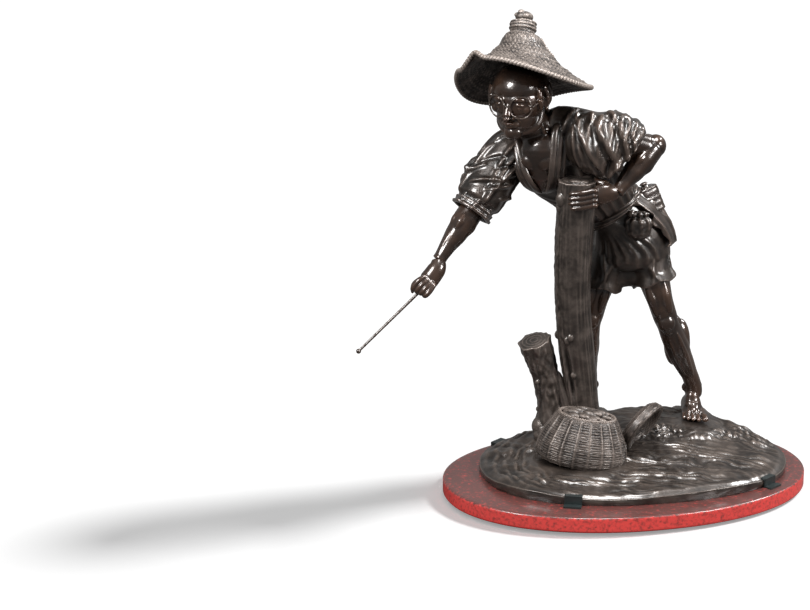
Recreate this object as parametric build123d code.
from build123d import *
import math
import os

# Patinated bronze figure of a fisherman leaning on a mooring post and reaching
# out with a thin rod, cast in pieces that are pinned and screwed together on a
# shallow ground casting, which four straps hold to a red lacquered wood stand.
# Millimetres, +Z up, origin on the floor under the middle of the whole object.

os.makedirs("parts", exist_ok=True)

# Wood stand
STAND_LENGTH = 368.6
STAND_DEPTH = 259.8
STAND_CENTRE_X = 41.4
STAND_TURN = 21.0
STAND_FULLNESS = 2.1
STAND_POINTS = 60
BOARD_THICKNESS = 15.0
BOARD_CHAMFER = 1.2
FOOT_PAD_HEIGHT = 3.0
FOOT_PAD_DIAMETER = 18.0
FOOT_PAD_INSET = 14.0
FOOT_PAD_SIDES = 16
FOOT_PAD_TURNS = (35.0, 145.0, 215.0, 325.0)

# Ground casting: an open-bottomed shell with a raised beach at its back
GROUND_LENGTH = 310.2
GROUND_DEPTH = 215.8
GROUND_SHIFT_X = 8.0
GROUND_SHIFT_Y = 9.7
GROUND_TURN = 17.5
GROUND_FULLNESS = 2.26
GROUND_WALL = 4.0
GROUND_POINTS = 36
RIM_HEIGHT = 11.5
RIM_WAVE = 1.8
RIM_WAVES = 5
MOUND_HEIGHT = 22.0
MOUND_X = 62.0
MOUND_Y = 100.0
MOUND_LENGTH = 190.0
MOUND_DEPTH = 136.0
RIPPLE_HEIGHT = 0.8
RIPPLE_LENGTH = 38.0
RIPPLE_SWAY_SHARE = 0.25
GROUND_RING_SHARES = (1.0, 0.96, 0.86, 0.70, 0.52, 0.34, 0.14)
GROUND_LIFT_SHARES = (0.0, 0.6, 1.0, 1.0, 1.0, 1.0, 1.0)
HOLLOW_RING_SHARES = (1.0, 0.90, 0.60, 0.20)
HOLLOW_LIFT_SHARES = (0.0, 0.85, 1.0, 1.0)

# Seats cut level into the ground for the castings that stand on it
FIGURE_LEVEL = 31.0
POST_LEVEL = 24.0
STUMP_LEVEL = 20.5
BASKET_LEVEL = 15.0
SEAT_BACKING = 8.0
SEAT_MARGIN = 3.0
SEAT_POINTS = 20
SOLE_FULLNESS = 3.0

# Clearances shared by every seat and running fit
SEAT_GAP = 0.2
RUN_GAP = 0.05
BOLT_GAP = 0.1
OVERRUN = 30.0

# Straps that clip the ground casting to the stand
CLIP_WIDTH = 17.0
CLIP_THICKNESS = 1.8
CLIP_FOOT = 7.0
CLIP_LIP = 6.0
CLIP_SEAT = 1.0
CLIP_TURNS = (238.0, 315.0, 139.0, 60.0)

# Screws that come up through the ground casting
BOLT_DIAMETER = 4.0
BOLT_HEAD = 8.0
BOLT_HEAD_HEIGHT = 2.5
BOLT_REACH = 12.0
BOLT_SIDES = 12

# Figure: where its joints lie, as shares of its height from the feet to the
# finial of the hat, measured across, to the back and up from the feet
FIGURE_HEIGHT = 422.0
POSE_SHARES = {
    "pelvis low": (0.106, 0.160, 0.370),
    "pelvis": (0.097, 0.166, 0.444),
    "waist": (0.048, 0.147, 0.530),
    "chest": (-0.061, 0.100, 0.651),
    "neck": (-0.116, 0.047, 0.722),
    "skull": (-0.154, 0.005, 0.776),
    "chest low": (-0.103, 0.057, 0.583),
    "chest high": (-0.115, 0.024, 0.684),
    "left hip": (0.131, 0.166, 0.438),
    "left knee": (0.188, 0.145, 0.260),
    "left ankle": (0.257, 0.216, 0.085),
    "left heel": (0.253, 0.262, 0.0),
    "left toe": (0.268, 0.138, 0.0),
    "right hip": (0.055, 0.166, 0.436),
    "right knee": (0.005, 0.156, 0.234),
    "right ankle": (0.007, 0.230, 0.081),
    "right heel": (0.010, 0.280, 0.0),
    "right toe": (-0.010, 0.162, 0.0),
    "left neck side": (-0.050, 0.052, 0.722),
    "left sleeve middle": (0.030, 0.020, 0.706),
    "left sleeve end": (0.125, 0.043, 0.690),
    "left hem": (0.085, 0.028, 0.680),
    "left shoulder": (0.026, 0.014, 0.730),
    "left elbow": (0.141, 0.047, 0.694),
    "left wrist": (0.064, -0.008, 0.601),
    "right neck side": (-0.125, 0.081, 0.701),
    "right shoulder": (-0.188, 0.076, 0.668),
    "right elbow": (-0.265, 0.019, 0.553),
    "right wrist": (-0.342, -0.033, 0.437),
    "rod exit": (-0.387, -0.064, 0.365),
    "chin": (-0.172, -0.043, 0.748),
    "head centre": (-0.161, -0.002, 0.807),
    "hat centre": (-0.154, 0.019, 0.845),
    "post top": (-0.028, 0.014, 0.627),
    "post middle": (-0.033, 0.057, 0.325),
    "post foot": (0.004, 0.100, -0.017),
    "stump top": (-0.122, 0.047, 0.227),
    "stump middle": (-0.089, 0.080, 0.110),
    "stump foot": (-0.067, 0.092, -0.026),
}

# Legs and feet
LEG_THICKNESS = 37.0
LEG_SIDES = 10
LEG_SHARES = (
    (0.0, 0.55, 0.62), (0.12, 0.46, 0.52), (0.24, 0.52, 0.60), (0.36, 0.68, 0.74),
    (0.46, 0.68, 0.72), (0.54, 0.64, 0.66), (0.60, 0.72, 0.76), (0.68, 0.72, 0.78),
    (0.80, 0.84, 0.90), (0.90, 0.92, 0.98),
)
FOOT_WIDTH = 25.0
FOOT_HEIGHT = 26.0
FOOT_SHARES = (
    (0.0, 0.55, 0.50), (0.10, 0.72, 0.86), (0.30, 0.76, 1.0), (0.55, 0.86, 0.80),
    (0.78, 1.0, 0.56), (0.92, 0.98, 0.42), (1.0, 0.80, 0.30),
)
HEEL_OVERHANG = 3.0
TOE_OVERHANG = 3.0

# Short trousers
HIP_WIDTH = 78.0
HIP_DEPTH = 58.0
HIP_SIDES = 18
HIP_SHARES = ((0.0, 0.74, 0.80), (0.22, 0.98, 1.0), (0.45, 1.0, 1.0), (0.72, 0.90, 0.92), (1.0, 0.78, 0.84))
ANKLE_DROP_SHARE = 0.7
TROUSER_LEG_WIDTH = 42.0
TROUSER_HEM_SHARE = 0.50
TROUSER_SHARES = ((0.0, 0.92, 1.0), (0.4, 1.0, 1.06), (0.75, 0.96, 1.02), (1.0, 1.04, 1.10))
HEM_WALL = 2.0
HEM_DEPTH_SHARE = 0.16

# Coat and the bare chest that it shows
COAT_WIDTH = 102.0
COAT_DEPTH = 62.0
COAT_SIDES = 18
COAT_SHARES = (
    (0.0, 0.66, 0.80), (0.16, 0.72, 0.90), (0.36, 0.82, 0.98), (0.56, 0.92, 1.0),
    (0.76, 0.98, 0.92), (0.90, 0.74, 0.66), (1.0, 0.44, 0.50),
)
SKIRT_WALL = 3.0
SKIRT_FROM_SHARE = 0.30
SKIRT_CUT_SHARES = (-0.86, -0.50, 0.10)
SKIRT_EDGE_SHARE = 0.02
SKIRT_SHARES = ((0.0, 1.06, 1.08), (0.3, 1.05, 1.08), (0.65, 0.97, 1.0), (1.0, 0.84, 0.90))
SASH_WIDTH = 9.0
SASH_THICKNESS = 2.4
CHEST_WIDTH = 42.0
CHEST_SIDES = 14
CHEST_SHARES = (
    (0.0, 0.60, 0.44), (0.25, 0.96, 0.72), (0.52, 0.94, 0.76), (0.76, 0.76, 0.76), (1.0, 0.70, 0.74),
)

# Arms
SLEEVE_THICKNESS = 46.0
SLEEVE_SIDES = 14
SLEEVE_WALL = 2.4
RIGHT_SLEEVE_SHARES = (
    (0.0, 0.76, 0.76), (0.3, 1.0, 0.98), (0.6, 0.98, 0.96), (0.86, 0.98, 0.96), (1.0, 0.94, 0.92),
)
LEFT_SLEEVE_SHARES = (
    (0.0, 0.90, 1.04), (0.3, 1.06, 1.26), (0.55, 1.04, 1.40), (0.8, 0.96, 1.18), (1.0, 0.74, 0.80),
)
LEFT_HEM_SHARES = (0.784, 0.0, -0.62)
HEM_RECESS = 7.0
RIGHT_CUFF_SHARE = 0.10
FOREARM_START_SHARES = {"left": -0.10, "right": -0.12}
CUFF_SHARES = ((0.0, 0.70, 0.70), (0.5, 0.80, 0.78), (1.0, 0.86, 0.84))
CUFF_LENGTH = 27.0
CUFF_RECESS = 7.0
FOREARM_THICKNESS = 26.0
FOREARM_SIDES = 12
FOREARM_SHARES = (
    (0.0, 0.90, 0.90), (0.25, 1.0, 0.98), (0.55, 0.88, 0.86), (0.85, 0.62, 0.60), (1.0, 0.60, 0.56),
)
UPPER_ARM_START_SHARE = 0.35
UPPER_ARM_SHARES = ((0.0, 0.94, 0.94), (0.6, 0.98, 0.96), (1.0, 0.92, 0.92))

# Hands
PALM_WIDTH = 22.0
PALM_DEPTH = 13.0
PALM_SIDES = 8
PALM_SHARES = ((0.0, 0.66, 0.80), (0.4, 0.94, 1.0), (0.8, 1.0, 1.06), (1.0, 0.88, 0.86))
PALM_LENGTH_SHARE = 1.3
FINGER_THICKNESS = 5.6
FINGER_SIDES = 6
FINGER_SHARES = (
    (0.0, 0.80, 0.80), (0.2, 1.0, 1.0), (0.55, 0.96, 0.96), (0.85, 0.86, 0.86), (1.0, 0.50, 0.50),
)
FINGERS = 4
FINGER_PITCH = 4.8
FINGER_DROP = 5.0
GRIP_SHARE = 0.955
KNUCKLE_TURN = -38.0
FINGERTIP_TURN = -112.0
FINGER_OVERLAP_TURN = 12.0
THUMB_TURN = 62.0
FIST_WIDTH = 23.0
FIST_LENGTH = 24.0
FIST_PALM_SHARE = 1.3
FIST_PALM_LENGTH_SHARE = 1.4
FIST_PALM_END_SHARE = 0.4
FIST_FINGER_SHARE = 1.2
FIST_ROOT_SHARES = (0.4, 0.42)
FIST_BEND_SHARES = (0.8, 0.46)
FIST_TIP_SHARES = (0.6, 0.8)
FIST_FIRST_TURN = -150.0
FIST_FINGER_TURN = 58.0
FIST_SHARES = ((0.0, 0.62, 0.60), (0.3, 0.94, 0.90), (0.7, 1.0, 0.96), (1.0, 0.66, 0.62))

# Rod held in the right hand
ROD_DIAMETER = 3.0
ROD_BALL = 5.0
ROD_LENGTH = 81.0
ROD_GRIP = 20.0
ROD_DIRECTION_SHARES = (-0.692, -0.279, -0.666)

# Head and spectacles
HEAD_WIDTH = 54.0
HEAD_DEPTH = 63.0
HEAD_SIDES = 16
HEAD_SHARES = (
    (0.0, 0.46, 0.42), (0.08, 0.66, 0.62), (0.22, 0.84, 0.82), (0.40, 0.97, 0.94),
    (0.60, 1.0, 1.0), (0.80, 0.90, 0.92), (1.0, 0.62, 0.62),
)
FACE_TURN = 22.0
FACE_DROP = 8.0
NOSE_WIDTH = 9.0
NOSE_LENGTH = 15.0
NOSE_REACH = 7.0
NOSE_BRIDGE_SHARE = 0.35
NOSE_TOP_SHARE = 0.5
NOSE_SHARES = ((-1.0, 1.1, 0.50, 0.70), (0.35, 0.95, 0.02, 0.74), (1.0, 0.7, -0.42, 0.66))
EAR_WIDTH = 9.0
EAR_HEIGHT = 16.0
EAR_THICKNESS = 4.0
EAR_DROP_SHARE = 0.2
EAR_SIDES = 8
EAR_SHARES = ((-0.5, 0.35), (-0.25, 0.7), (0.15, 1.0), (0.42, 0.7), (0.5, 0.4))
LENS_OUTER = 23.0
LENS_INNER = 20.2
LENS_SIDES = 20
LENS_SPACING = 27.0
RIM_THICKNESS = 1.4
EYE_HEIGHT_SHARE = 0.5

# Straw hat, cast as a thin cone
HAT_DIAMETER = 132.0
HAT_HEIGHT = 46.0
HAT_WALL = 2.6
HAT_SIDES = 28
HAT_TILT = 25.4
HAT_ROLL = 2.3
HAT_TWIST = 16.8
HAT_SHARES = ((1.0, 0.0), (0.82, 0.15), (0.60, 0.36), (0.40, 0.66), (0.25, 1.0))
CROWN_HEIGHT_SHARE = 0.38
CROWN_PAD_DIAMETER = 24.0
KNOB_DIAMETER = 27.0
KNOB_HEIGHT = 15.0
KNOB_TOP_DIAMETER = 20.0
KNOB_TOP_HEIGHT = 11.0
KNOB_SIDES = 18
KNOB_SHARES = ((1.0, 0.0), (0.76, 0.22), (0.76, 0.36), (1.0, 0.52), (1.0, 0.84), (0.66, 1.0))
KNOB_TOP_SHARES = ((1.0, 0.35), (0.9, 0.75), (0.4, 1.0))

# Post and tree stump
POST_DIAMETER = 37.0
POST_SIDES = 16
POST_SHARES = (
    (0.0, 0.90, 0.92), (0.12, 0.84, 0.86), (0.35, 0.96, 0.92), (0.6, 0.98, 0.96),
    (0.85, 1.0, 0.98), (1.0, 1.02, 1.0),
)
POST_GROOVES = 5
POST_GROOVE_SHARE = 0.035
POST_KNOT_DIAMETER = 9.0
POST_KNOT_SHARE = 0.40
POST_KNOT_TURN = 180.0
POST_BURL_DIAMETER = 14.0
POST_BURL_SHARE = 0.935
POST_BURL_TURN = 222.0
KNOT_SHARES = ((0.0, 1.0, 1.0), (0.7, 1.0, 0.9), (1.0, 0.5, 0.5))
KNOT_RISE_SHARE = 0.2
STUMP_DIAMETER = 32.0
STUMP_SIDES = 14
STUMP_SHARES = (
    (0.0, 1.18, 1.0), (0.16, 1.14, 1.02), (0.32, 0.84, 0.84), (0.6, 0.86, 0.88),
    (0.88, 0.98, 0.96), (1.0, 1.06, 1.02),
)
STUMP_SEAT_SHARE = 1.2
STUMP_RIDGES = 4
STUMP_RIDGE_SHARE = 0.05

# Basket, its contents and its lid
BASKET_X = -3.0
BASKET_Y = -15.0
BASKET_WIDTH = 88.0
BASKET_DEPTH = 72.0
BASKET_HEIGHT = 46.0
BASKET_WALL = 3.0
BASKET_TILT = 8.0
BASKET_TILT_BACK = 3.0
BASKET_SHARES = ((0.90, -0.16), (1.0, 0.10), (0.98, 0.34), (0.86, 0.66), (0.66, 1.0))
STAKES = 18
STAKE_HEIGHT = 1.5
BASKET_FLOOR_SHARE = 0.2
MOUTH_CUT_SHARES = ((1.0, 1.0, 0.0),)
CATCH_SHARES = ((0.86, 0.55, 0.05), (0.48, 0.9, 0.12), (0.16, 1.0, 0.0))
CATCH_RISE = 5.0
LID_X = 56.5
LID_Y = 16.0
LID_LEVEL = 20.5
LID_DIAMETER = 56.0
LID_THICKNESS = 9.0
LID_SIDES = 24
LID_LEAN = 31.0
LID_TURN = -26.0
LID_SINK_SHARE = 0.96
LID_MIDDLE_SHARE = 0.5
LID_DISH_SHARES = ((0.58, -0.1), (0.78, 0.3), (0.78, 1.0))
LID_SEAT_SHARES = (2.4, 0.84)
LID_BACK_SHARES = ((0.40, 0.0), (0.80, 0.14), (0.96, 0.44), (1.0, 0.80), (0.95, 1.0))

# Tobacco box, toggle bead and pouch at the sash: how far each hangs below the waist, its turn
# round the hips from the side and how far its middle stands out from the trousers
BOX_DROP = 14.7
BOX_SIDE_TURN = 5.2
BOX_OUT = 2.7
BEAD_DROP = 6.1
BEAD_SIDE_TURN = -49.4
BEAD_OUT = 5.6
POUCH_DROP = 19.9
POUCH_SIDE_TURN = -53.4
POUCH_OUT = 5.7
BOX_WIDTH = 22.0
BOX_DEPTH = 18.0
BOX_HEIGHT = 26.0
BOX_CORNER = 4.0
BOX_SEAM = 0.8
BOX_SEAM_SHARE = 0.62
BOX_LEAN = 22.0
BOX_TURN = 30.0
BOX_LUG_WIDTH = 9.0
BOX_LUG_HEIGHT = 6.0
BEAD_DIAMETER = 8.0
BALL_SIDES = 12
BALL_BANDS = 7
POUCH_WIDTH = 26.0
POUCH_HEIGHT = 30.0
POUCH_DEPTH = 15.0
POUCH_SHARES = ((0.0, 0.50, 0.55), (0.25, 0.95, 1.0), (0.6, 1.0, 1.0), (0.9, 0.72, 0.72), (1.0, 0.60, 0.60))

# Dowel pins inside the castings
PIN_WIDTH = 4.0
PIN_LENGTH = 16.0

STAND_TOP = FOOT_PAD_HEIGHT + BOARD_THICKNESS
FIGURE_GROUND = STAND_TOP + FIGURE_LEVEL
POST_GROUND = STAND_TOP + POST_LEVEL
STUMP_GROUND = STAND_TOP + STUMP_LEVEL
BASKET_GROUND = STAND_TOP + BASKET_LEVEL
LID_GROUND = STAND_TOP + LID_LEVEL


# Helpers for places, rings and lofted skins

def spot(shares):
    across, back, up = shares
    return Vector(FIGURE_HEIGHT * across, FIGURE_HEIGHT * back, FIGURE_GROUND + FIGURE_HEIGHT * up)


def pose(name):
    return spot(POSE_SHARES[name])


def between(start, end, share):
    return start + (end - start) * share


def ring(plane, wide, deep, sides, ridges=0, ridge_share=0):
    points = []
    for step in range(sides):
        turn = math.tau * step / sides
        swell = 1 + ridge_share * math.cos(ridges * turn)
        flat = Vector(wide / 2 * swell * math.cos(turn), deep / 2 * swell * math.sin(turn), 0)
        points.append(plane.from_local_coords(flat))
    return points


def skin(rings):
    faces = [Face(Wire.make_polygon(rings[0])), Face(Wire.make_polygon(rings[-1]))]
    sides = len(rings[0])
    for low, high in zip(rings, rings[1:]):
        for near in range(sides):
            far = (near + 1) % sides
            faces.append(Face(Wire.make_polygon([low[near], low[far], high[far]])))
            faces.append(Face(Wire.make_polygon([low[near], high[far], high[near]])))
    return Solid(Shell(faces))


def limb(path, rows, wide, deep, across, sides, spare=0, ridges=0, ridge_share=0, span=(0, 1)):
    rings = []
    for along_share, wide_share, deep_share in rows:
        along = span[0] + (span[1] - span[0]) * along_share
        facing = across(along) if callable(across) else across
        plane = Plane(origin=path @ along, x_dir=facing, z_dir=path % along)
        rings.append(ring(plane, wide * wide_share + 2 * spare, deep * deep_share + 2 * spare,
                          sides, ridges, ridge_share))
    return skin(rings)


def ball(centre, axis, diameter):
    rings = []
    for step in range(1, BALL_BANDS):
        turn = math.pi * step / BALL_BANDS
        plane = Plane(origin=centre - axis * (diameter / 2 * math.cos(turn)), z_dir=axis)
        rings.append(ring(plane, diameter * math.sin(turn), diameter * math.sin(turn), BALL_SIDES))
    return skin(rings)


def oval(length, depth, fullness, turn, centre_x, centre_y, count):
    points = []
    for step in range(count):
        angle = math.tau * step / count
        across = math.copysign(abs(math.cos(angle)) ** (2 / fullness), math.cos(angle)) * length / 2
        back = math.copysign(abs(math.sin(angle)) ** (2 / fullness), math.sin(angle)) * depth / 2
        point = Vector(across, back, 0).rotate(Axis.Z, turn)
        points.append(point + Vector(centre_x, centre_y, 0))
    return points


def cylinder_at(start, end, diameter):
    axis = end - start
    disc = Plane(origin=start, z_dir=axis) * Circle(diameter / 2)
    return extrude(disc, amount=axis.length, dir=axis.normalized())


def bar_at(start, end, width):
    axis = end - start
    square = Plane(origin=start, z_dir=axis) * Rectangle(width, width)
    return extrude(square, amount=axis.length, dir=axis.normalized())


def half_space(origin, direction, size):
    square = Plane(origin=origin, z_dir=direction) * Rectangle(size, size)
    return extrude(square, amount=size, dir=direction.normalized())


def write(shape, name):
    shape.label = name
    export_step(shape, f"parts/{name}.step")


def one(shape):
    solids = sorted(shape.solids(), key=lambda body: body.volume)
    return solids[-1]


# Wood stand: an oval board with small pads under it

def board_ring(level, inset):
    edge = oval(STAND_LENGTH - 2 * inset, STAND_DEPTH - 2 * inset, STAND_FULLNESS, STAND_TURN,
                STAND_CENTRE_X, 0, STAND_POINTS)
    return [Vector(point.X, point.Y, level) for point in edge]


board_top = FOOT_PAD_HEIGHT + BOARD_THICKNESS
stand_board = skin([
    board_ring(FOOT_PAD_HEIGHT, BOARD_CHAMFER),
    board_ring(FOOT_PAD_HEIGHT + BOARD_CHAMFER, 0),
    board_ring(board_top - BOARD_CHAMFER, 0),
    board_ring(board_top, BOARD_CHAMFER),
])

stand_feet = Part()
pad_inset = FOOT_PAD_INSET + FOOT_PAD_DIAMETER / 2
for pad_turn in FOOT_PAD_TURNS:
    angle = math.radians(pad_turn)
    reach = Vector(math.cos(angle) * (STAND_LENGTH / 2 - pad_inset),
                   math.sin(angle) * (STAND_DEPTH / 2 - pad_inset), 0)
    place = reach.rotate(Axis.Z, STAND_TURN) + Vector(STAND_CENTRE_X, 0, 0)
    pad_face = RegularPolygon(FOOT_PAD_DIAMETER / 2, FOOT_PAD_SIDES)
    stand_feet = stand_feet + extrude(Pos(place.X, place.Y, 0) * pad_face, amount=FOOT_PAD_HEIGHT)


# Ground casting

ground_x = STAND_CENTRE_X + GROUND_SHIFT_X
ground_y = GROUND_SHIFT_Y


def rim_top(angle):
    return STAND_TOP + RIM_HEIGHT + RIM_WAVE * math.cos(RIM_WAVES * angle)


def terrain(point, rim, lift):
    hill = math.exp(-((point.X - MOUND_X) / MOUND_LENGTH * 2) ** 2 / 2
                    - ((point.Y - MOUND_Y) / MOUND_DEPTH * 2) ** 2 / 2)
    sway = math.sin(point.X / RIPPLE_LENGTH) * RIPPLE_SWAY_SHARE
    ripple = math.cos(math.tau * (point.Y / RIPPLE_LENGTH + sway))
    return rim + lift * (MOUND_HEIGHT * hill + RIPPLE_HEIGHT * ripple * (1 - hill))


def ground_form(wall, ring_shares, lift_shares):
    outline = oval(GROUND_LENGTH - 2 * wall, GROUND_DEPTH - 2 * wall, GROUND_FULLNESS, GROUND_TURN,
                   ground_x, ground_y, GROUND_POINTS)
    centre = Vector(ground_x, ground_y, 0)
    rings = [[Vector(point.X, point.Y, STAND_TOP) for point in outline]]
    for share, lift in zip(ring_shares, lift_shares):
        loop = []
        for step, point in enumerate(outline):
            inner = between(centre, point, share)
            rim = rim_top(math.tau * step / GROUND_POINTS)
            even = STAND_TOP + RIM_HEIGHT + (rim - STAND_TOP - RIM_HEIGHT) * share
            loop.append(Vector(inner.X, inner.Y, terrain(inner, even, lift) - wall))
        rings.append(loop)
    level = sum(point.Z for point in rings[-1]) / GROUND_POINTS
    rings[-1] = [Vector(point.X, point.Y, level) for point in rings[-1]]
    return skin(rings)


def seat_print(centre, length, depth, turn=0, fullness=2):
    points = oval(length + 2 * SEAT_MARGIN, depth + 2 * SEAT_MARGIN, fullness, turn, centre.X, centre.Y,
                  SEAT_POINTS)
    return Face(Wire.make_polygon(points))


def sole_print(heel, toe):
    reach = toe - heel
    turn = math.degrees(math.atan2(reach.Y, reach.X))
    length = reach.length + HEEL_OVERHANG + TOE_OVERHANG
    return seat_print(between(heel, toe, 0.5), length, FOOT_WIDTH, turn, SOLE_FULLNESS)


post_foot = pose("post foot")
stump_foot = pose("stump foot")
basket_foot = Vector(BASKET_X, BASKET_Y, BASKET_GROUND)
lid_lean = math.radians(LID_LEAN)
lid_turn = math.radians(LID_TURN)
lid_facing = Vector(math.cos(lid_lean) * math.cos(lid_turn), math.cos(lid_lean) * math.sin(lid_turn),
                    -math.sin(lid_lean))
lid_rise = Vector(math.sin(lid_lean) * math.cos(lid_turn), math.sin(lid_lean) * math.sin(lid_turn),
                  math.cos(lid_lean))
lid_foot = Vector(LID_X, LID_Y, LID_GROUND) - Vector(lid_rise.X, lid_rise.Y, 0) * (LID_DIAMETER / 2)
lid_centre = lid_foot + lid_rise * (LID_DIAMETER / 2 * LID_SINK_SHARE)

stump_width = STUMP_DIAMETER * STUMP_SEAT_SHARE
lid_length = LID_THICKNESS * LID_SEAT_SHARES[0]
lid_width = LID_DIAMETER * LID_SEAT_SHARES[1]
seats = [
    (sole_print(pose("left heel"), pose("left toe")), FIGURE_GROUND),
    (sole_print(pose("right heel"), pose("right toe")), FIGURE_GROUND),
    (seat_print(post_foot, POST_DIAMETER, POST_DIAMETER), POST_GROUND),
    (seat_print(stump_foot, stump_width, stump_width), STUMP_GROUND),
    (seat_print(basket_foot, BASKET_WIDTH, BASKET_DEPTH), BASKET_GROUND),
    (seat_print(lid_foot, lid_length, lid_width, LID_TURN), LID_GROUND),
]
backing = Part()
clearing = Part()
for seat_face, level in seats:
    pad_face = Pos(0, 0, level - SEAT_BACKING) * seat_face
    backing = backing + extrude(pad_face, amount=SEAT_BACKING, dir=(0, 0, 1))
    clearing = clearing + extrude(Pos(0, 0, level) * seat_face, amount=MOUND_HEIGHT, dir=(0, 0, 1))
ground_outside = ground_form(0, GROUND_RING_SHARES, GROUND_LIFT_SHARES)
ground_hollow = ground_form(GROUND_WALL, HOLLOW_RING_SHARES, HOLLOW_LIFT_SHARES)
ground_casting = one((ground_outside - ground_hollow) + backing - clearing)


# Post and stump

def post_form(spare):
    path = Spline(pose("post foot"), pose("post middle"), pose("post top"))
    return limb(path, POST_SHARES, POST_DIAMETER, POST_DIAMETER, (1, 0, 0), POST_SIDES, spare,
                POST_GROOVES, POST_GROOVE_SHARE)


post_path = Spline(pose("post foot"), pose("post middle"), pose("post top"))


def post_knot(share, turn, diameter):
    heart = post_path @ share
    out = Vector(math.cos(math.radians(turn)), math.sin(math.radians(turn)), 0)
    tip = heart + out * (POST_DIAMETER / 2 + diameter * KNOT_RISE_SHARE)
    return limb(Line(heart, tip), KNOT_SHARES, diameter, diameter, (0, 0, 1), FINGER_SIDES)


post = post_form(0) - half_space(Vector(0, 0, POST_GROUND), Vector(0, 0, -1), FIGURE_HEIGHT)
post = post + post_knot(POST_KNOT_SHARE, POST_KNOT_TURN, POST_KNOT_DIAMETER)
post = one(post + post_knot(POST_BURL_SHARE, POST_BURL_TURN, POST_BURL_DIAMETER))

stump_path = Spline(pose("stump foot"), pose("stump middle"), pose("stump top"))
stump = limb(stump_path, STUMP_SHARES, STUMP_DIAMETER, STUMP_DIAMETER, (1, 0, 0), STUMP_SIDES, 0,
             STUMP_RIDGES, STUMP_RIDGE_SHARE)
stump = stump - half_space(Vector(0, 0, STUMP_GROUND), Vector(0, 0, -1), FIGURE_HEIGHT) - post_form(SEAT_GAP)
stump = one(stump)


# Basket with its raised stakes, the catch that fills it and its lid

basket_plane = Plane(basket_foot).rotated((-BASKET_TILT_BACK, BASKET_TILT, 0))
basket_floor = BASKET_HEIGHT * BASKET_FLOOR_SHARE


def basket_level(height):
    return Plane(origin=basket_plane.from_local_coords(Vector(0, 0, height)), x_dir=basket_plane.x_dir,
                 z_dir=basket_plane.z_dir)


def basket_outside():
    rings = []
    for radius_share, height_share in BASKET_SHARES:
        plane = basket_level(BASKET_HEIGHT * height_share)
        loop = []
        for step in range(STAKES * 4):
            turn = math.tau * step / (STAKES * 4)
            rise = STAKE_HEIGHT if step % 4 in (1, 2) else 0
            loop.append(plane.from_local_coords(Vector(
                (BASKET_WIDTH / 2 * radius_share + rise) * math.cos(turn),
                (BASKET_DEPTH / 2 * radius_share + rise) * math.sin(turn), 0)))
        rings.append(loop)
    return rings


def basket_inside(inset, top):
    rings = []
    for radius_share, height_share in BASKET_SHARES[1:]:
        plane = basket_level(max(BASKET_HEIGHT * height_share, basket_floor))
        rings.append(ring(plane, BASKET_WIDTH * radius_share - 2 * inset,
                          BASKET_DEPTH * radius_share - 2 * inset, STAKES))
    mouth_share = BASKET_SHARES[-1][0]
    for radius_share, height_share, ridge_share in top:
        plane = basket_level(BASKET_HEIGHT + CATCH_RISE * height_share)
        rings.append(ring(plane, (BASKET_WIDTH * mouth_share - 2 * inset) * radius_share,
                          (BASKET_DEPTH * mouth_share - 2 * inset) * radius_share, STAKES, 3, ridge_share))
    return rings


below_basket = half_space(Vector(0, 0, BASKET_GROUND), Vector(0, 0, -1), FIGURE_HEIGHT)
basket_hollow = skin(basket_inside(BASKET_WALL, MOUTH_CUT_SHARES))
basket_body = one(skin(basket_outside()) - basket_hollow - below_basket)
basket_catch = skin(basket_inside(BASKET_WALL + SEAT_GAP, CATCH_SHARES))


def lid_ring(radius_share, height):
    plane = Plane(origin=lid_centre + lid_facing * height, x_dir=lid_rise, z_dir=lid_facing)
    return ring(plane, LID_DIAMETER * radius_share, LID_DIAMETER * radius_share, LID_SIDES)


lid_rings = [lid_ring(share, LID_THICKNESS * (height_share - LID_MIDDLE_SHARE))
             for share, height_share in LID_BACK_SHARES]
lid_dish = skin([lid_ring(share, LID_THICKNESS * height_share) for share, height_share in LID_DISH_SHARES])
below_lid = half_space(Vector(0, 0, LID_GROUND), Vector(0, 0, -1), FIGURE_HEIGHT)
basket_lid = one(skin(lid_rings) - lid_dish - below_lid)


# Legs, each cast with its foot, and the short trousers that they stand up into

below_feet = half_space(Vector(0, 0, FIGURE_GROUND), Vector(0, 0, -1), FIGURE_HEIGHT)
ankle_drop = Vector(0, 0, FOOT_HEIGHT * ANKLE_DROP_SHARE)


def leg_line(side):
    ankle = pose(f"{side} ankle")
    return Spline(ankle - ankle_drop, ankle, pose(f"{side} knee"), pose(f"{side} hip"))


left_leg_path = leg_line("left")
right_leg_path = leg_line("right")


def foot_form(heel, toe):
    along = (toe - heel).normalized()
    rings = []
    start = heel - along * HEEL_OVERHANG
    reach = (toe - heel).length + HEEL_OVERHANG + TOE_OVERHANG
    for share, wide_share, high_share in FOOT_SHARES:
        middle = start + along * (reach * share)
        plane = Plane(origin=middle, x_dir=(along.Y, -along.X, 0), z_dir=along)
        rings.append(ring(plane, FOOT_WIDTH * wide_share, 2 * FOOT_HEIGHT * high_share, LEG_SIDES))
    return skin(rings)


def leg_form(path, heel, toe):
    return one(limb(path, LEG_SHARES, LEG_THICKNESS, LEG_THICKNESS, (1, 0, 0), LEG_SIDES)
               + foot_form(heel, toe) - below_feet)


def leg_socket(path):
    return limb(path, LEG_SHARES[-3:], LEG_THICKNESS, LEG_THICKNESS, (1, 0, 0), LEG_SIDES, SEAT_GAP)


left_leg = leg_form(left_leg_path, pose("left heel"), pose("left toe"))
right_leg = leg_form(right_leg_path, pose("right heel"), pose("right toe"))

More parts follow.
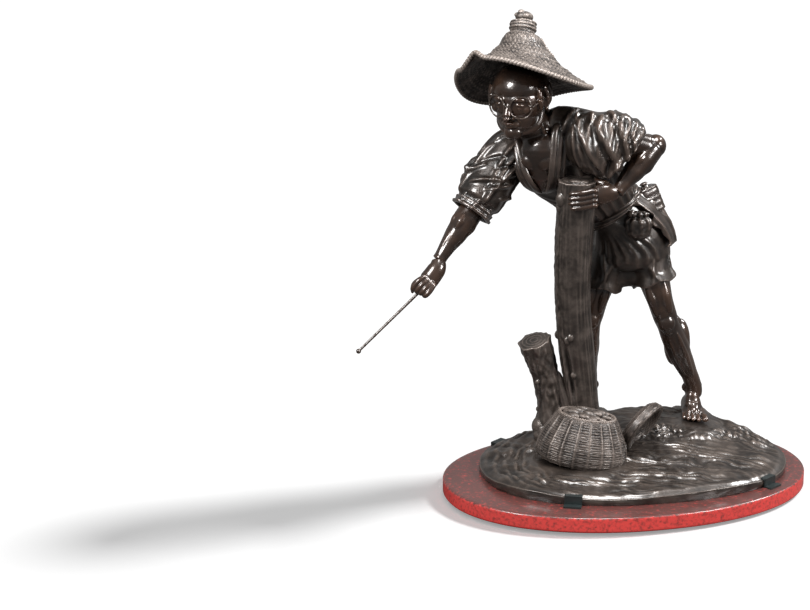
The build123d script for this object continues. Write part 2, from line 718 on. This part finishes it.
shoulder_line = (pose("left shoulder") - pose("right shoulder")).normalized()
body_path = Spline(pose("pelvis low"), pose("pelvis"), pose("waist"), pose("chest"), pose("neck"))
waist_share = body_path.param_at_point(pose("waist"))


def body_across(share):
    return between(Vector(1, 0, 0), shoulder_line, share)


def trouser_leg(hip, knee, spare, rows):
    hem = between(hip, knee, TROUSER_HEM_SHARE)
    return limb(Line(hip, hem), rows, TROUSER_LEG_WIDTH, TROUSER_LEG_WIDTH, (1, 0, 0), LEG_SIDES, spare)


def hem_recess(hip, knee):
    hem = between(hip, knee, TROUSER_HEM_SHARE)
    start = between(hem, hip, HEM_DEPTH_SHARE)
    end = hem + (hem - start)
    wide_share, deep_share = TROUSER_SHARES[-1][1:]
    rows = ((0.0, wide_share, deep_share), (1.0, wide_share, deep_share))
    return limb(Line(start, end), rows, TROUSER_LEG_WIDTH, TROUSER_LEG_WIDTH, (1, 0, 0), LEG_SIDES, -HEM_WALL)


def hip_form(spare):
    return limb(body_path, HIP_SHARES, HIP_WIDTH, HIP_DEPTH, body_across, HIP_SIDES, spare,
                span=(0, waist_share))


trousers = hip_form(0)
for side in ("left", "right"):
    trousers = trousers + trouser_leg(pose(f"{side} hip"), pose(f"{side} knee"), 0, TROUSER_SHARES)
trousers = trousers - hem_recess(pose("left hip"), pose("left knee"))
trousers = trousers - hem_recess(pose("right hip"), pose("right knee"))
trousers = trousers - leg_socket(left_leg_path) - leg_socket(right_leg_path) - post_form(SEAT_GAP)
trousers = one(trousers)


# Coat, its skirt, the sash round the waist and the bare chest in the open collar

def coat_form(spare):
    return limb(body_path, COAT_SHARES, COAT_WIDTH, COAT_DEPTH, body_across, COAT_SIDES, spare,
                span=(waist_share, 1))


chest_path = Spline(pose("chest low"), pose("chest high"), pose("neck"), pose("skull"))


def chest_form(spare, first=0):
    return limb(chest_path, CHEST_SHARES[first:], CHEST_WIDTH, CHEST_WIDTH, shoulder_line, CHEST_SIDES, spare)


waist_plane = Plane(origin=body_path @ waist_share, z_dir=body_path % waist_share)
sash_half_share = SASH_WIDTH / 2 / body_path.length
sash_span = (waist_share - sash_half_share, waist_share + sash_half_share)
sash_low = Plane(origin=body_path @ sash_span[0], z_dir=body_path % sash_span[0])
sash_rows = ((0.0, HIP_SHARES[-1][1], HIP_SHARES[-1][2]), (1.0, HIP_SHARES[-1][1], HIP_SHARES[-1][2]))
skirt = limb(body_path, SKIRT_SHARES, HIP_WIDTH, HIP_DEPTH, body_across, HIP_SIDES, SKIRT_WALL,
             span=(waist_share * SKIRT_FROM_SHARE, waist_share))
skirt_cut = Vector(*SKIRT_CUT_SHARES)
skirt = skirt - half_space(sash_low.origin, sash_low.z_dir, FIGURE_HEIGHT)
skirt_edge = pose("pelvis") + skirt_cut * (HIP_DEPTH * SKIRT_EDGE_SHARE)
skirt = skirt - half_space(skirt_edge, skirt_cut, FIGURE_HEIGHT)
skirt = skirt - hip_form(SEAT_GAP)
for side in ("left", "right"):
    skirt = skirt - trouser_leg(pose(f"{side} hip"), pose(f"{side} knee"), SEAT_GAP, TROUSER_SHARES)
skirt = one(skirt)
sash = limb(body_path, sash_rows, HIP_WIDTH, HIP_DEPTH, body_across, HIP_SIDES, SASH_THICKNESS + SKIRT_WALL,
            span=sash_span)
sash = one(sash - hip_form(SEAT_GAP) - coat_form(SEAT_GAP) - post_form(SEAT_GAP))


# Sleeves, forearms and hands

def arm_line(side, start_share, end_share):
    elbow = pose(f"{side} elbow")
    wrist = pose(f"{side} wrist")
    return Line(between(elbow, wrist, start_share), between(elbow, wrist, end_share))


def forearm_form(side, spare, rows):
    return limb(arm_line(side, FOREARM_START_SHARES[side], 1), rows, FOREARM_THICKNESS, FOREARM_THICKNESS,
                (0, 1, 0), FOREARM_SIDES, spare)


def upper_arm_form(spare):
    start = between(pose("left shoulder"), pose("left elbow"), UPPER_ARM_START_SHARE)
    return limb(Line(start, pose("left elbow")), UPPER_ARM_SHARES, FOREARM_THICKNESS, FOREARM_THICKNESS,
                (0, 1, 0), FOREARM_SIDES, spare)


def sleeve_form(points, rows, spare=0):
    return limb(Spline(*points), rows, SLEEVE_THICKNESS, SLEEVE_THICKNESS, (0, 1, 0), SLEEVE_SIDES, spare)


def cuff_form(side, spare, start_share, end_share):
    return limb(arm_line(side, start_share, end_share), CUFF_SHARES, SLEEVE_THICKNESS, SLEEVE_THICKNESS,
                (0, 1, 0), SLEEVE_SIDES, spare)


def arm_length(side):
    return (pose(f"{side} wrist") - pose(f"{side} elbow")).length


def hanging_sleeve():
    points = (pose("left neck side"), pose("left sleeve middle"), pose("left sleeve end"))
    hem_facing = Vector(*LEFT_HEM_SHARES).normalized()
    recess = sleeve_form(points, LEFT_SLEEVE_SHARES, -SLEEVE_WALL)
    recess = recess - half_space(pose("left hem") - hem_facing * HEM_RECESS, -hem_facing, FIGURE_HEIGHT)
    body = sleeve_form(points, LEFT_SLEEVE_SHARES) - recess
    body = body - half_space(pose("left hem"), hem_facing, FIGURE_HEIGHT) - upper_arm_form(SEAT_GAP)
    return one(body - forearm_form("left", SEAT_GAP, FOREARM_SHARES) - coat - chest - post_form(SEAT_GAP))


def cuffed_sleeve():
    recess_share = RIGHT_CUFF_SHARE - CUFF_RECESS / arm_length("right")
    reach_share = CUFF_LENGTH / arm_length("right")
    points = (pose("right neck side"), pose("right shoulder"), pose("right elbow"))
    body = sleeve_form(points, RIGHT_SLEEVE_SHARES)
    body = body + cuff_form("right", 0, RIGHT_CUFF_SHARE - reach_share, RIGHT_CUFF_SHARE)
    body = body - cuff_form("right", -SLEEVE_WALL, recess_share, recess_share + reach_share)
    return one(body - forearm_form("right", SEAT_GAP, FOREARM_SHARES) - coat - chest)


chest = one(chest_form(0))
chest = one(chest - post_form(SEAT_GAP))
coat = one(coat_form(0) - post_form(SEAT_GAP) - chest_form(0))
left_wrist = pose("left wrist")
left_arm_direction = (left_wrist - pose("left elbow")).normalized()
right_wrist = pose("right wrist")
right_arm_direction = (right_wrist - pose("right elbow")).normalized()

grip_plane = Plane(origin=post_path @ GRIP_SHARE, z_dir=post_path % GRIP_SHARE)
grip_radius = POST_DIAMETER / 2 + FINGER_THICKNESS / 2 + SEAT_GAP


def grip_point(turn, lift):
    angle = math.radians(turn)
    return grip_plane.origin + Vector(grip_radius * math.cos(angle), grip_radius * math.sin(angle), lift)


def grip_finger(start_turn, end_turn, start_lift, end_lift):
    middle_turn = (start_turn + end_turn) / 2
    path = Spline(grip_point(start_turn, start_lift), grip_point(middle_turn, (start_lift + end_lift) / 2),
                  grip_point(end_turn, end_lift))
    return limb(path, FINGER_SHARES, FINGER_THICKNESS, FINGER_THICKNESS, (0, 0, 1), FINGER_SIDES)


knuckles = grip_point(KNUCKLE_TURN, 0)
left_palm = Line(between(knuckles, left_wrist, PALM_LENGTH_SHARE), knuckles)
left_hand = limb(left_palm, PALM_SHARES, PALM_WIDTH, PALM_DEPTH, (0, 0, 1), PALM_SIDES)
for finger in range(FINGERS):
    lift = (FINGERS / 2 - 0.5 - finger) * FINGER_PITCH
    left_hand = left_hand + grip_finger(KNUCKLE_TURN + FINGER_OVERLAP_TURN, FINGERTIP_TURN, lift,
                                        lift - FINGER_DROP)
left_hand = left_hand + grip_finger(KNUCKLE_TURN, THUMB_TURN, FINGER_PITCH, FINGER_PITCH * 2)
left_hand = left_hand - post_form(SEAT_GAP)
left_hand = one(left_hand - half_space(left_wrist, -left_arm_direction, FIGURE_HEIGHT))

coat = one(coat - left_hand)
left_sleeve = hanging_sleeve()
right_sleeve = cuffed_sleeve()
left_forearm = one(forearm_form("left", 0, FOREARM_SHARES) + upper_arm_form(0))
right_forearm = one(forearm_form("right", 0, FOREARM_SHARES))


# Right fist round the rod, and the rod that draws out of it

rod_axis = Vector(*ROD_DIRECTION_SHARES).normalized()
rod_exit = pose("rod exit")
rod_start = rod_exit - rod_axis * ROD_GRIP
rod_end = rod_exit + rod_axis * ROD_LENGTH
rod = one(cylinder_at(rod_start, rod_end, ROD_DIAMETER) + ball(rod_end, rod_axis, ROD_BALL))
rod_bore = cylinder_at(rod_start, rod_exit + rod_axis * OVERRUN, ROD_DIAMETER + 2 * RUN_GAP)

fist_start = rod_exit - rod_axis * FIST_LENGTH
fist_round = Plane(origin=rod_exit, x_dir=(0, 0, 1), z_dir=rod_axis)


def fist_point(shares, out):
    along_share, out_share = shares
    return fist_start + rod_axis * (FIST_LENGTH * along_share) + out * (FIST_WIDTH * out_share)


fist = limb(Line(fist_start, rod_exit), FIST_SHARES, FIST_WIDTH, FIST_WIDTH, (0, 1, 0), PALM_SIDES)
right_palm = Line(between(fist_start, right_wrist, FIST_PALM_LENGTH_SHARE),
                  between(fist_start, rod_exit, FIST_PALM_END_SHARE))
fist = fist + limb(right_palm, PALM_SHARES, PALM_WIDTH, PALM_DEPTH * FIST_PALM_SHARE, (0, 1, 0), PALM_SIDES)
for finger in range(FINGERS):
    turn = math.radians(FIST_FIRST_TURN + finger * FIST_FINGER_TURN)
    out = fist_round.x_dir * math.cos(turn) + fist_round.y_dir * math.sin(turn)
    tip = rod_exit + (rod_axis * FIST_TIP_SHARES[0] + out * FIST_TIP_SHARES[1]) * FINGER_THICKNESS
    curl = Spline(fist_point(FIST_ROOT_SHARES, out), fist_point(FIST_BEND_SHARES, out), tip)
    fist = fist + limb(curl, FINGER_SHARES, FINGER_THICKNESS * FIST_FINGER_SHARE,
                       FINGER_THICKNESS * FIST_FINGER_SHARE, fist_round.y_dir, FINGER_SIDES)
right_hand = one(fist - half_space(right_wrist, -right_arm_direction, FIGURE_HEIGHT) - rod_bore)


# Head, spectacles, hat and its knob

hat_centre = pose("hat centre")
hat_axis = Vector(0, 0, 1).rotate(Axis.X, -HAT_TILT).rotate(Axis.Y, HAT_ROLL)
hat_plane = Plane(origin=hat_centre, x_dir=Vector(1, 0, 0).rotate(Axis.Y, HAT_ROLL), z_dir=hat_axis)
crown = hat_centre + hat_axis * (HAT_HEIGHT * CROWN_HEIGHT_SHARE)
head_path = Spline(pose("chin"), pose("head centre"), crown)
face_across = Vector(1, 0, 0).rotate(Axis.Z, -FACE_TURN)
face_forward = Vector(0, -1, 0).rotate(Axis.Z, -FACE_TURN).rotate(Axis((0, 0, 0), face_across), FACE_DROP)
face_up = face_across.cross(face_forward) * -1
eye_centre = head_path @ EYE_HEIGHT_SHARE
head = limb(head_path, HEAD_SHARES, HEAD_WIDTH, HEAD_DEPTH, face_across, HEAD_SIDES)

lens_back = eye_centre + face_forward * (HEAD_DEPTH / 2 + NOSE_REACH * NOSE_BRIDGE_SHARE + SEAT_GAP)
nose_rings = []
for reach_share, width_share, high_share, low_share in NOSE_SHARES:
    reach = HEAD_DEPTH / 2 + NOSE_REACH * reach_share
    loop = []
    top_share = width_share * NOSE_TOP_SHARE
    for across, up in ((-width_share, -low_share), (width_share, -low_share), (top_share, high_share),
                       (-top_share, high_share)):
        loop.append(eye_centre + face_forward * reach + face_across * (NOSE_WIDTH / 2 * across)
                    + face_up * (NOSE_LENGTH * up))
    nose_rings.append(loop)
head = head + skin(nose_rings)


def ear_form(sign):
    place = eye_centre + face_across * (sign * HEAD_WIDTH / 2) - face_up * (EAR_HEIGHT * EAR_DROP_SHARE)
    rings = []
    for height_share, width_share in EAR_SHARES:
        plane = Plane(origin=place + face_up * (EAR_HEIGHT * height_share), x_dir=face_forward, z_dir=face_up)
        rings.append(ring(plane, EAR_WIDTH * width_share, EAR_THICKNESS, EAR_SIDES))
    return skin(rings)


head = head + ear_form(1) + ear_form(-1)
above_crown = half_space(crown, hat_axis, FIGURE_HEIGHT)
head = one(head - above_crown - chest_form(SEAT_GAP, 2) - coat)

lens_plane = Plane(origin=lens_back, x_dir=face_across, z_dir=face_forward)
rim_seat = RegularPolygon(LENS_OUTER / 2 + SEAT_GAP, LENS_SIDES)
rim_seat = rim_seat - RegularPolygon(LENS_INNER / 2 - SEAT_GAP, LENS_SIDES)
rim_seats = Pos(LENS_SPACING / 2, 0, 0) * rim_seat + Pos(-LENS_SPACING / 2, 0, 0) * rim_seat
rim_seats = rim_seats + Rectangle(LENS_SPACING - LENS_INNER, RIM_THICKNESS + 2 * SEAT_GAP)
head = one(head - extrude(lens_plane * rim_seats, amount=NOSE_REACH, dir=face_forward))
rims = RegularPolygon(LENS_OUTER / 2, LENS_SIDES) - RegularPolygon(LENS_INNER / 2, LENS_SIDES)
bridge = Rectangle(LENS_SPACING - LENS_INNER, RIM_THICKNESS)
front = Pos(LENS_SPACING / 2, 0, 0) * rims + Pos(-LENS_SPACING / 2, 0, 0) * rims + bridge
spectacles = extrude(lens_plane * front, amount=RIM_THICKNESS, dir=face_forward)
temple_out = LENS_SPACING / 2 + LENS_OUTER / 2 - RIM_THICKNESS / 2
for sign in (-1, 1):
    hinge = lens_back + face_across * (sign * temple_out) + face_forward * (RIM_THICKNESS / 2)
    ear_front = eye_centre + face_across * (sign * (HEAD_WIDTH / 2 + RIM_THICKNESS / 2))
    ear_front = ear_front + face_forward * (EAR_WIDTH / 2 + RIM_THICKNESS)
    spectacles = spectacles + bar_at(hinge, ear_front, RIM_THICKNESS)


def hat_ring(radius, height):
    points = []
    for step in range(HAT_SIDES):
        turn = math.tau * step / HAT_SIDES
        share = 2 * radius / HAT_DIAMETER
        lift = HAT_TWIST * share * share * math.cos(turn) * math.sin(turn)
        points.append(hat_plane.from_local_coords(Vector(radius * math.cos(turn), radius * math.sin(turn),
                                                         height + lift)))
    return points


def hat_form(drop):
    rings = []
    for radius_share, height_share in HAT_SHARES:
        rings.append(hat_ring(HAT_DIAMETER / 2 * radius_share, HAT_HEIGHT * height_share - drop))
    centre = hat_plane.from_local_coords(Vector(0, 0, HAT_HEIGHT - drop))
    rings[-1] = [centre + (point - centre) - hat_axis * (point - centre).dot(hat_axis) for point in rings[-1]]
    return rings


hat_under = hat_form(HAT_WALL)
hat_top = hat_form(0)
hat_faces = []
for shell_rings in (hat_top, hat_under, [hat_top[0], hat_under[0]]):
    for low, high in zip(shell_rings, shell_rings[1:]):
        for near in range(HAT_SIDES):
            far = (near + 1) % HAT_SIDES
            hat_faces.append(Face(Wire.make_polygon([low[near], low[far], high[far]])))
            hat_faces.append(Face(Wire.make_polygon([low[near], high[far], high[near]])))
hat_faces.append(Face(Wire.make_polygon(hat_top[-1])))
hat_faces.append(Face(Wire.make_polygon(hat_under[-1])))
hat = Solid(Shell(hat_faces))
crown_pad = cylinder_at(crown, hat_centre + hat_axis * (HAT_HEIGHT - HAT_WALL / 2), CROWN_PAD_DIAMETER)
hat = one(hat + crown_pad)
knob_plane = Plane(origin=hat_centre + hat_axis * HAT_HEIGHT, z_dir=hat_axis)
knob_sizes = []
for wide_share, high_share in KNOB_SHARES:
    knob_sizes.append((KNOB_DIAMETER * wide_share, KNOB_HEIGHT * high_share))
for wide_share, high_share in KNOB_TOP_SHARES:
    knob_sizes.append((KNOB_TOP_DIAMETER * wide_share, KNOB_HEIGHT + KNOB_TOP_HEIGHT * high_share))
knob_rings = []
for width, height in knob_sizes:
    plane = Plane(origin=knob_plane.origin + hat_axis * height, x_dir=hat_plane.x_dir, z_dir=hat_axis)
    knob_rings.append(ring(plane, width, width, KNOB_SIDES))
hat_knob = skin(knob_rings)


# Tobacco box, pouch and toggle bead that hang at the sash

sash_outside = limb(body_path, sash_rows, HIP_WIDTH, HIP_DEPTH, body_across, HIP_SIDES,
                    SASH_THICKNESS + SKIRT_WALL + SEAT_GAP, span=sash_span)


def hip_spot(drop, turn, out):
    along = waist_share - drop / body_path.length
    share = along / waist_share
    for low, high in zip(HIP_SHARES, HIP_SHARES[1:]):
        if low[0] <= share <= high[0]:
            row = between(Vector(*low), Vector(*high), (share - low[0]) / (high[0] - low[0]))
    angle = math.radians(turn)
    reach = Vector(math.cos(angle), math.sin(angle), 0)
    wide = HIP_WIDTH / 2 * row.Y
    deep = HIP_DEPTH / 2 * row.Z
    surface = wide * deep / math.hypot(deep * reach.X, wide * reach.Y)
    plane = Plane(origin=body_path @ along, x_dir=(1, 0, 0), z_dir=body_path % along)
    return plane.from_local_coords(reach * (surface + out))


box_spot = hip_spot(BOX_DROP, BOX_SIDE_TURN, BOX_OUT)
bead_spot = hip_spot(BEAD_DROP, BEAD_SIDE_TURN, BEAD_OUT)
pouch_spot = hip_spot(POUCH_DROP, POUCH_SIDE_TURN, POUCH_OUT)
box_frame = Pos(*box_spot) * Rot(0, -BOX_LEAN, 0) * Rot(0, 0, BOX_TURN)
box_face = chamfer(Rectangle(BOX_WIDTH, BOX_DEPTH).vertices(), BOX_CORNER)
seam_plate = Rectangle(BOX_WIDTH - 2 * BOX_SEAM, BOX_DEPTH - 2 * BOX_SEAM)
seam_face = chamfer(seam_plate.vertices(), BOX_CORNER - BOX_SEAM)
seam_level = BOX_HEIGHT * (BOX_SEAM_SHARE - 0.5)
tobacco_box = extrude(Pos(0, 0, -BOX_HEIGHT / 2) * box_face, amount=BOX_HEIGHT)
tobacco_box = tobacco_box - extrude(Pos(0, 0, seam_level) * (box_face - seam_face), amount=BOX_SEAM)
lug_face = RegularPolygon(BOX_LUG_WIDTH / 2, FINGER_SIDES)
tobacco_box = tobacco_box + extrude(Pos(0, 0, BOX_HEIGHT / 2) * lug_face, amount=BOX_LUG_HEIGHT)
tobacco_box = one(box_frame * tobacco_box - sash_outside - coat_form(SEAT_GAP) - hip_form(SEAT_GAP) - skirt)
bead = one(ball(bead_spot, Vector(0, 0, 1), BEAD_DIAMETER) - sash_outside - hip_form(SEAT_GAP))
bead_seat = ball(bead_spot, Vector(0, 0, 1), BEAD_DIAMETER + 2 * SEAT_GAP)
pouch_top = pouch_spot + Vector(0, 0, POUCH_HEIGHT / 2)
pouch_foot = pouch_spot - Vector(0, 0, POUCH_HEIGHT / 2)
pouch = limb(Line(pouch_foot, pouch_top), POUCH_SHARES, POUCH_WIDTH, POUCH_DEPTH, (1, 0, 0), HIP_SIDES)
pouch = pouch - trouser_leg(pose("left hip"), pose("left knee"), SEAT_GAP, TROUSER_SHARES)
pouch = one(pouch - sash_outside - hip_form(SEAT_GAP) - skirt - bead_seat)


# Straps that hook over the rim of the ground casting

def rim_point(turn):
    angle = math.radians(turn)
    across = math.copysign(abs(math.cos(angle)) ** (2 / GROUND_FULLNESS), math.cos(angle)) * GROUND_LENGTH / 2
    back = math.copysign(abs(math.sin(angle)) ** (2 / GROUND_FULLNESS), math.sin(angle)) * GROUND_DEPTH / 2
    return Vector(across, back, 0).rotate(Axis.Z, GROUND_TURN) + Vector(ground_x, ground_y, STAND_TOP)


def clip_plane(turn):
    along = (rim_point(turn + 2) - rim_point(turn - 2)).normalized()
    out = Vector(along.Y, -along.X, 0)
    return Plane(origin=rim_point(turn), x_dir=out, z_dir=(-along.X, -along.Y, 0))


def clip_lift(turn):
    return rim_top(math.radians(turn)) - STAND_TOP - RIM_WAVE - CLIP_SEAT


clips = Part()
for turn in CLIP_TURNS:
    lift = clip_lift(turn)
    outer = SEAT_GAP + CLIP_THICKNESS
    top = lift + CLIP_THICKNESS
    profile = Polyline((SEAT_GAP, 0), (outer + CLIP_FOOT, 0), (outer + CLIP_FOOT, CLIP_THICKNESS),
                       (outer, CLIP_THICKNESS), (outer, top), (-CLIP_LIP, top), (-CLIP_LIP, lift),
                       (SEAT_GAP, lift), (SEAT_GAP, 0))
    plane = clip_plane(turn)
    clips = clips + extrude(plane * make_face(profile), amount=CLIP_WIDTH / 2, both=True)
    notch = Polyline((-CLIP_LIP - SEAT_GAP, lift), (OVERRUN, lift), (OVERRUN, lift + MOUND_HEIGHT),
                     (-CLIP_LIP - SEAT_GAP, lift + MOUND_HEIGHT), (-CLIP_LIP - SEAT_GAP, lift))
    notch_face = plane * make_face(notch)
    ground_casting = ground_casting - extrude(notch_face, amount=CLIP_WIDTH / 2 + SEAT_GAP, both=True)


pieces = {
    "stand_board": stand_board,
    "stand_feet": stand_feet,
    "rim_clips": clips,
    "ground_casting": ground_casting,
    "post": post,
    "stump": stump,
    "basket_body": basket_body,
    "basket_catch": basket_catch,
    "basket_lid": basket_lid,
    "left_leg": left_leg,
    "right_leg": right_leg,
    "trousers": trousers,
    "coat": coat,
    "coat_skirt": skirt,
    "sash": sash,
    "chest": chest,
    "left_sleeve": left_sleeve,
    "right_sleeve": right_sleeve,
    "left_forearm": left_forearm,
    "right_forearm": right_forearm,
    "left_hand": left_hand,
    "right_hand": right_hand,
    "rod": rod,
    "head": head,
    "spectacles": spectacles,
    "hat": hat,
    "hat_knob": hat_knob,
    "tobacco_box": tobacco_box,
    "toggle_bead": bead,
    "pouch": pouch,
}


# Screws that come up through the seats, and dowel pins across the joints between castings

bolt_places = [
    (between(pose("left heel"), pose("left toe"), 0.5), FIGURE_GROUND, ("left_leg",)),
    (between(pose("right heel"), pose("right toe"), 0.5), FIGURE_GROUND, ("right_leg",)),
    (post_foot, POST_GROUND, ("post",)),
    (stump_foot, STUMP_GROUND, ("stump",)),
    (basket_foot, BASKET_GROUND, ("basket_body", "basket_catch")),
]
base_screws = Part()
for place, level, held in bolt_places:
    under = level - SEAT_BACKING
    shank = Pos(place.X, place.Y, under) * RegularPolygon(BOLT_DIAMETER / 2, BOLT_SIDES)
    hole = Pos(place.X, place.Y, under) * RegularPolygon(BOLT_DIAMETER / 2 + BOLT_GAP, BOLT_SIDES)
    head_face = Pos(place.X, place.Y, under - BOLT_HEAD_HEIGHT) * RegularPolygon(BOLT_HEAD / 2, BOLT_SIDES)
    head_path = Pos(place.X, place.Y, STAND_TOP) * RegularPolygon(BOLT_HEAD / 2 + SEAT_GAP, BOLT_SIDES)
    screw = extrude(shank, amount=SEAT_BACKING + BOLT_REACH) + extrude(head_face, amount=BOLT_HEAD_HEIGHT)
    base_screws = base_screws + screw
    pieces["ground_casting"] = pieces["ground_casting"] - extrude(head_path, amount=under - STAND_TOP)
    drill = extrude(hole, amount=SEAT_BACKING + BOLT_REACH + SEAT_GAP)
    for name in ("ground_casting",) + held:
        pieces[name] = pieces[name] - drill

upper_arm_start = between(pose("left shoulder"), pose("left elbow"), UPPER_ARM_START_SHARE)
upper_arm_direction = (pose("left elbow") - pose("left shoulder")).normalized()
right_arm_start = arm_line("right", FOREARM_START_SHARES["right"], 1) @ 0
pin_places = [
    (left_leg_path @ LEG_SHARES[-1][0], left_leg_path % LEG_SHARES[-1][0], ("left_leg", "trousers")),
    (right_leg_path @ LEG_SHARES[-1][0], right_leg_path % LEG_SHARES[-1][0], ("right_leg", "trousers")),
    (waist_plane.origin, waist_plane.z_dir, ("trousers", "coat")),
    (upper_arm_start, upper_arm_direction, ("left_sleeve", "left_forearm")),
    (right_arm_start, right_arm_direction, ("right_sleeve", "right_forearm")),
    (left_wrist, left_arm_direction, ("left_forearm", "left_hand")),
    (right_wrist, right_arm_direction, ("right_forearm", "right_hand")),
    (pose("skull"), chest_path % 1, ("chest", "head")),
    (crown, hat_axis, ("head", "hat")),
    (knob_plane.origin, hat_axis, ("hat", "hat_knob")),
]
dowel_pins = Part()
for centre, direction, held in pin_places:
    half = direction.normalized() * (PIN_LENGTH / 2)
    spare = direction.normalized() * SEAT_GAP
    dowel_pins = dowel_pins + bar_at(centre - half, centre + half, PIN_WIDTH)
    drill = bar_at(centre - half - spare, centre + half + spare, PIN_WIDTH + 2 * RUN_GAP)
    for name in held:
        pieces[name] = pieces[name] - drill

pieces["base_screws"] = base_screws
pieces["dowel_pins"] = dowel_pins
for name, shape in pieces.items():
    write(shape, name)
